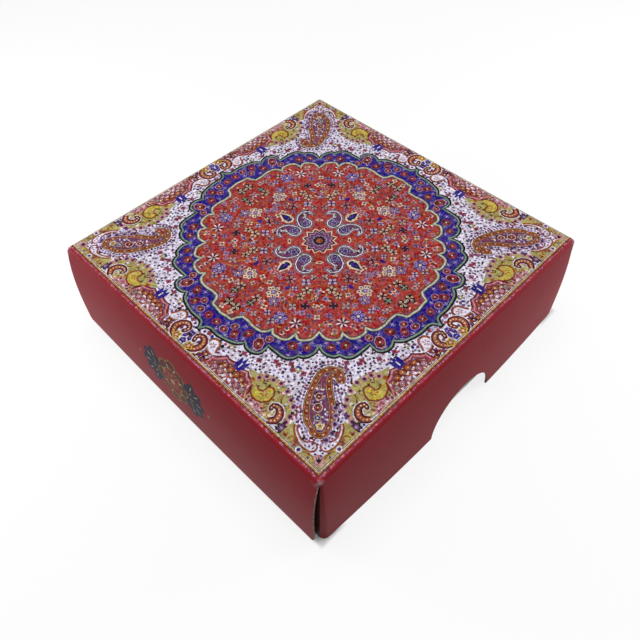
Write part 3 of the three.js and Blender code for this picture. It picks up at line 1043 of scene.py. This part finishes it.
# Corner paisley with its dotted halo
paisley = [(37.2, 36.9, 1.7), (35.8, 35.6, 2.6), (33.7, 33.5, 2.7), (31.8, 31.5, 2.2), (30.3, 29.5, 1.6),
           (29.3, 27.5, 1.2), (29.5, 25.9, 0.9), (30.8, 25.2, 0.6), (32.2, 25.7, 0.35), (33, 26.5, 0.15)]
lay("lilac", [(31.4, 27.2), (32.8, 27.4), (34.6, 29.2), (36, 30.9), (34.2, 30.7), (32.4, 29.4)])
for shift in (0, 0.6, 1.2):
    vein = [(31.6 + shift, 27.4 + 0.2 * shift), (33.2 + shift, 28.9 + 0.1 * shift), (34.4 + shift, 30.3)]
    stroke("white", vein, 0.26)
for grow, pitch in ((1.9, 0.85), (1.15, 0.8)):
    for x, y, heading in along(swept(paisley, grow), pitch):
        dot(pick("plum", "plum", "lilac"), x, y, 0.32, 1.3, heading)
sweep(paisley, (0.75, "maroon"), (0.58, "gold"), (0.4, "maroon"), (0.24, "orange"))
hatch(swept(paisley, -0.08), 0.62, 0.46, "cream", "maroon", "plum")
sweep(paisley, (-0.4, "maroon"), (-0.55, "gold"), (-0.7, "plum"))
for x, y in jittered(0.8, 39):
    if inside(swept(paisley, -0.95), x, y):
        dot(pick("white", "lilac", "lilac", "rose", "dark", "cream"), x, y, 0.24, 1.5, rng.uniform(0, 3))
for x, y, radius in ((30.4, 30.2, 0.6), (31.9, 31.9, 0.9), (33.6, 33.9, 1.15)):
    rose(x, y, radius, "cream", 0.8)
bloom(35.2, 35.6, 0.9, "yellow", "indigo", "white", 5)
bloom(36.9, 36.6, 0.95, "cream", "yellow", "orange", 5)
for x, y in ((37.5, 32.7), (38.7, 34.2), (39.7, 36), (39.9, 37.9), (36.2, 31.4)):
    roundel(x, y, 0.75, "lilac", "plum", "dark")

# Dots of the flowered ground, where nothing larger is printed
dot_corners = 8
large = [shape for ink, shape in prints[ground_start:] if len(shape) > dot_corners]
for x, y in jittered(0.95, border - 0.5):
    outside = math.hypot(x, y) > reach_at(outer_edge, x, y) + 0.5 and max(x, y) < border - 0.7
    if outside and not any(inside(shape, x, y) for shape in large):
        colour = pick("plum", "plum", "indigo", "plum", "maroon", "rose", "dark", "dark", "lilac")
        radius = rng.uniform(0.32, 0.48) if min(x, y) < 9 else rng.uniform(0.24, 0.38)
        dot(colour, x, y, radius, pick(1, 1.4), rng.uniform(0, 3))

# Blue border of the medallion with its roses and leaves
outer_line = scallops(outer_edge)
lay("indigo", [(0, 0), *outer_line])
octant_start = len(prints)
for x, y, size in ((34.2, 1.4, 1.1), (34.4, 4.2, 1.15), (32.2, 5.5, 1.05), (33.7, 7, 1.1), (31.4, 9.2, 1.25),
                   (29.2, 13.7, 1.05), (31.7, 12.9, 1.45), (26.9, 18.7, 1.4), (25, 21.3, 1.2)):
    rose(x, y, size, pick("pink", "rose", "lilac", "plum"), rng.uniform(0, 3))
for x, y in ((35.6, 2.8), (32.7, 3.6), (35.3, 5.8), (30.4, 7.3), (33.2, 9.4), (34.6, 8.8), (30, 11.4),
             (33.6, 13.2), (28.2, 15.6), (28.8, 17.5), (29.2, 19.8), (25.3, 19.3), (27, 21.2), (23.4, 21.2),
             (23.2, 22.6), (31, 3.7)):
    turn = rng.uniform(0, 3)
    dot("lilac", x, y, 0.27, 2.4, turn)
    dot("rose", x + 0.5, y - 0.4, 0.24)
    dot("pink", x - 0.6 * math.sin(turn), y + 0.6 * math.cos(turn), 0.16)
    dot("azure", x + 0.5 * math.sin(turn), y - 0.5 * math.cos(turn), 0.26, 2.6, turn)
mirror_octant(octant_start)
outer_rim = [(x * 0.991, y * 0.991) for x, y in outer_line]
for line, width, ink in ((outer_line, 0.85, "dark"), (outer_rim, 0.75, "dark"), (outer_rim, 0.42, "sage")):
    stroke(ink, line, width, 1)

# Red field and its flowers
inner_line = scallops(inner_edge)
lay("red", [(0, 0), *inner_line])
octant_start = len(prints)
placed = []


def plant(flower, x, y, radius, *colours):
    """Lays a flower of the field and keeps its place, so that the small florets leave room for it."""
    flower(x, y, radius, *colours)
    placed.append((x, y, radius))
    placed.append((y, x, radius))


for x, y in ((16, 6.4), (19.5, 8.2), (21, 13.4), (12, 9)):
    stroke("gold", [(x, y), (x + 1.2, y + 1), (x + 1.8, y + 2.6), (x + 3.4, y + 3.2)], 0.24)
plant(posy, 19.3, 4.2, 2, "plum", "cream", "maroon", "lilac", 8)
plant(posy, 21.2, 6.4, 1.5, "plum", "lilac", "dark", "cream", 5)
plant(posy, 23.4, 10.9, 1.8, "indigo", "lilac", "plum", "cream", 6)
plant(posy, 25.6, 10, 1.1, "plum", "cream", "maroon", "dark", 4)
for x, y, radius in ((13.9, 4.2, 1.4), (23.3, 2.7, 1.25), (13.6, 9.5, 1.4), (15.9, 9.7, 1.2)):
    plant(posy, x, y, radius, "maroon", pick("cream", "pink"), pick("gold", "plum"), "dark", 5)
for x, y, radius in ((28.3, 1.2, 1.3), (19.3, 10.6, 1.15), (26.8, 5.7, 0.85), (9.6, 7.7, 0.95)):
    plant(posy, x, y, radius, pick("dark", "plum"), "cream", "maroon", "gold", 4)
plant(posy, 25.2, 2.8, 1, "dark", "sage", "moss", "cream", 4)
for x, y, radius in ((15.2, 7, 0.85), (18.5, 15.3, 0.85), (11.9, 7.5, 1.2), (12.3, 2.8, 0.7), (24.4, 7.7, 0.9)):
    plant(posy, x, y, radius, "plum", pick("lilac", "white"), "indigo", "dark", 4)
plant(daisy, 22.1, 14.7, 1.75, "white", "dark")
plant(posy, 17.2, 12.6, 1.1, "dark", "plum", "pink", "maroon", 4)
dot("indigo", 16.1, 5.6, 0.55, 1.8, 0.1)
placed.append((16.1, 5.6, 0.9))
placed.append((5.6, 16.1, 0.9))
mirror_octant(octant_start)
for x, y in jittered(1.65, 32):
    distance = math.hypot(x, y)
    clear = all(math.hypot(x - a, y - b) > radius + 0.5 for a, b, radius in placed)
    if 11.5 < distance < reach_at(inner_edge, x, y) - 0.8 and clear:
        kind = rng.random()
        turn = rng.uniform(0, 6)
        if kind < 0.4:
            lay(pick("cream", "pink", "lilac"), lobed(x, y, rng.uniform(0.65, 0.9), 4, 0.45, turn))
            dot(pick("maroon", "plum", "dark"), x, y, 0.42)
            dot(pick("cream", "lilac"), x + 0.07, y, 0.16)
        elif kind < 0.65:
            dot(pick("cream", "pink"), x, y, 0.6, 1.2, turn)
            dot("plum", *polar(x, y, 0.17, turn), 0.46, 1.2, turn)
            dot(pick("lilac", "dark"), x, y, 0.2)
        elif kind < 0.85:
            dot(pick("cream", "white", "gold"), x, y, 0.24, 2, turn)
            beside = (x - 0.6 * math.sin(turn), y + 0.6 * math.cos(turn))
            dot(pick("dark", "maroon", "moss"), *beside, 0.3, 1.7, turn)
        else:
            dot("plum", x, y, 0.4, 1.4, turn)
            dot("maroon", x - 0.7, y + 0.4, 0.3)
for line, width, ink in ((inner_line, 1, "dark"), (inner_line, 0.7, "sage"), (inner_line, 0.28, "cream")):
    stroke(ink, line, width, 1)

# Rosette, botehs and hearts in the middle of the field
octant_start = len(prints)
boteh = [(7, 1.9, 2), (9, 2.4, 1.5), (10, 4, 1), (9.2, 5.5, 0.65), (7.7, 5.6, 0.25)]
sweep(boteh, (0.3, "plum"), (0.14, "pink"), (0.02, "dark"), (-0.22, "white"), (-0.5, "dark"), (-0.66, "plum"))
dot("lilac", 7.1, 1.9, 1.36)
for x, y in ((8.9, 3.1), (9.7, 4.1), (9, 5.1), (8.2, 2.1)):
    dot("cream", x, y, 0.21, 1.7, y)
bloom(7.1, 1.8, 1.3, "dark", "lilac", "indigo", 5)
dot("indigo", 7.1, 1.8, 0.62)
dot("plum", 7.1, 1.8, 0.32)
for x, y in ((8.6, 2.6), (9.5, 3.5), (9.4, 4.7), (5.7, 2.3), (7.2, 3.2), (6.6, 0.5)):
    dot(pick("moss", "indigo", "moss"), x, y, 0.24, 1.6, x)
sweep([(11.3, 0, 0.95), (12.4, 0, 0.8), (14, 0, 0.1)],
      (0.62, "dark"), (0.5, "cream"), (0, "dark"), (-0.45, "indigo"))
for y in (0.9, 1.5):
    dot("cream", 10.6 + 0.9 * y, y, 0.24, 1.8, 0.9)
for x, y in ((3.6, 9.8), (5.8, 10.2), (8.2, 9.9), (4.8, 9)):
    dot("dark", x, y, 0.4)
    dot("pink", x + 0.3, y + 0.2, 0.2)
mirror_octant(octant_start)
dot("cream", 5.3, 5.3, 0.5, 2.2, -math.pi / 4)
dot("maroon", 5.3, 5.3, 0.3, 2.2, -math.pi / 4)
petal_count = 12
star_steps = 12
for share, colour in ((4.1, "cream"), (3.7, "maroon"), (3.1, "lilac"), (2.8, "plum"), (1.9, "lilac"),
                      (1.6, "dark"), (0.8, "orange")):
    star = [(0, 0)]
    for step in range(star_steps + 1):
        angle = math.pi / 2 * step / star_steps
        star.append(polar(0, 0, share * (1 + 0.13 * math.cos(petal_count * angle)), angle))
    lay(colour, star)

print_shift = (-0.6, 0.7)
quarter = [(0, 0), (print_reach, 0), (print_reach, print_reach), (0, print_reach)]
bm = cut_blank(quarter, [], madder_red, prints)
for axis in ("X", "Y"):
    bmesh.ops.mirror(bm, geom=bm.verts[:] + bm.edges[:] + bm.faces[:], axis=axis, merge_dist=0.0005)
bmesh.ops.translate(bm, verts=bm.verts, vec=(*print_shift, 0))
for axis, half in ((0, lid.half_length), (1, lid.half_width)):
    places = crease_places(half, lid.crease_radius)
    for side in (-1, 1):
        for place in places:
            normal = [0, 0, 0]
            normal[axis] = side
            point = [0, 0, 0]
            point[axis] = side * place
            near = [face for face in bm.faces
                    if max(side * vert.co[axis] for vert in face.verts) > places[0] - 0.01]
            touched = {item for face in near for item in (*face.verts, *face.edges, face)}
            bmesh.ops.bisect_plane(bm, geom=list(touched), plane_co=point, plane_no=normal, dist=1e-5,
                                   clear_outer=place == places[-1])
creased_panel(lid, bm)
piece = link_piece("lid_printed_top", bm, [laminated_print, board_back])
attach(piece, "lid")
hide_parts("lid_main_panel")
